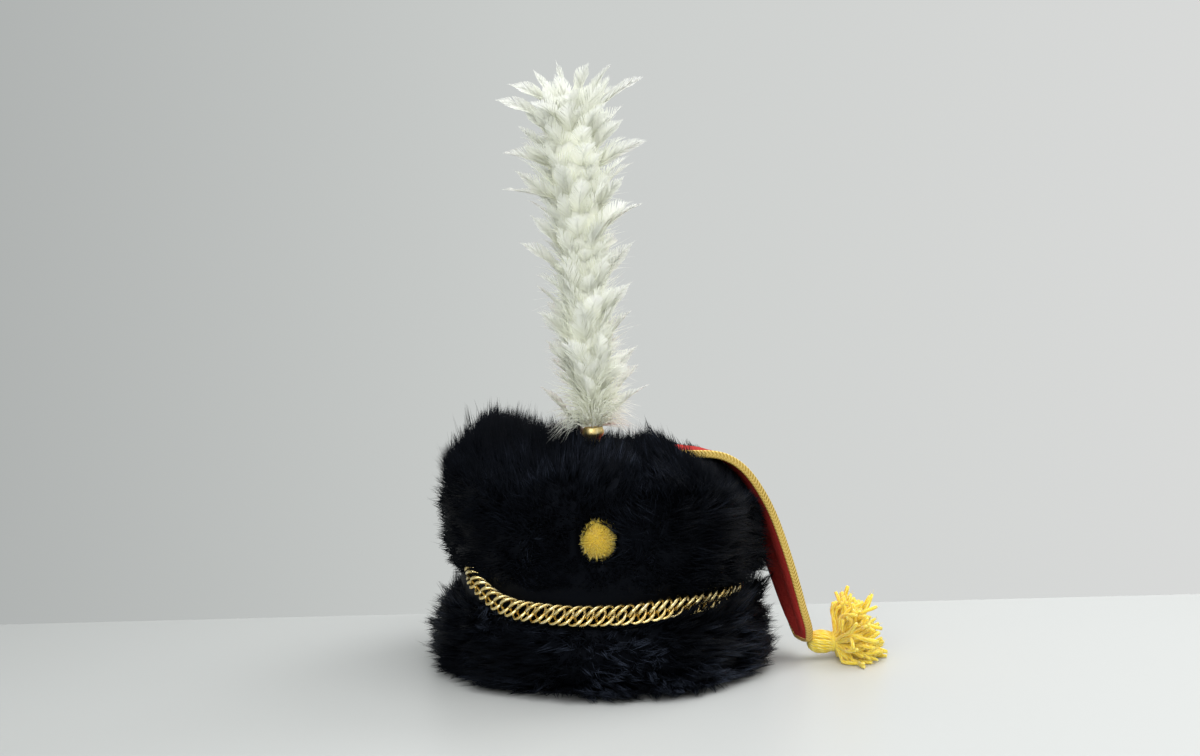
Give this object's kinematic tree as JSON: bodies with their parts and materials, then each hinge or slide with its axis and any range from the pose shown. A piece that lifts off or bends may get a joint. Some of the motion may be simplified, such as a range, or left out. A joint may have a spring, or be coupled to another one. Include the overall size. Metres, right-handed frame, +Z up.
{
  "type": "busby",
  "caption": "Squat black fur cap with a waist, an upright white feather plume, a red cloth bag with a yellow tassel at one side, a wool boss and a gilt chin chain.",
  "frame": {"origin": "middle of the head opening, in the plane of the rim that the hat stands on", "axes": "+Z up through the crown, -Y to the front where the plume and boss are, +X to the side where the bag falls"},
  "size_m": [0.332, 0.2649, 0.4312],
  "materials": {
    "felt": "matte black stiffened felt",
    "fur": "long soft black fur with a faint cool sheen",
    "gilt": "bright gilt metal",
    "yellow_wool": "soft wool yarn",
    "feather": "ivory white feather with soft down",
    "red_cloth": "matte red wool cloth",
    "gold_braid": "woven gold metallic braid"
  },
  "bodies": {
    "root": {"cap_shell": "felt", "fur_upper": "fur", "fur_lower": "fur", "chin_chain": "gilt", "boss": "yellow_wool", "plume_socket": "gilt", "plume": "feather", "bag": "red_cloth", "bag_braid": "gold_braid", "tassel": "yellow_wool"}
  },
  "joints": []
}
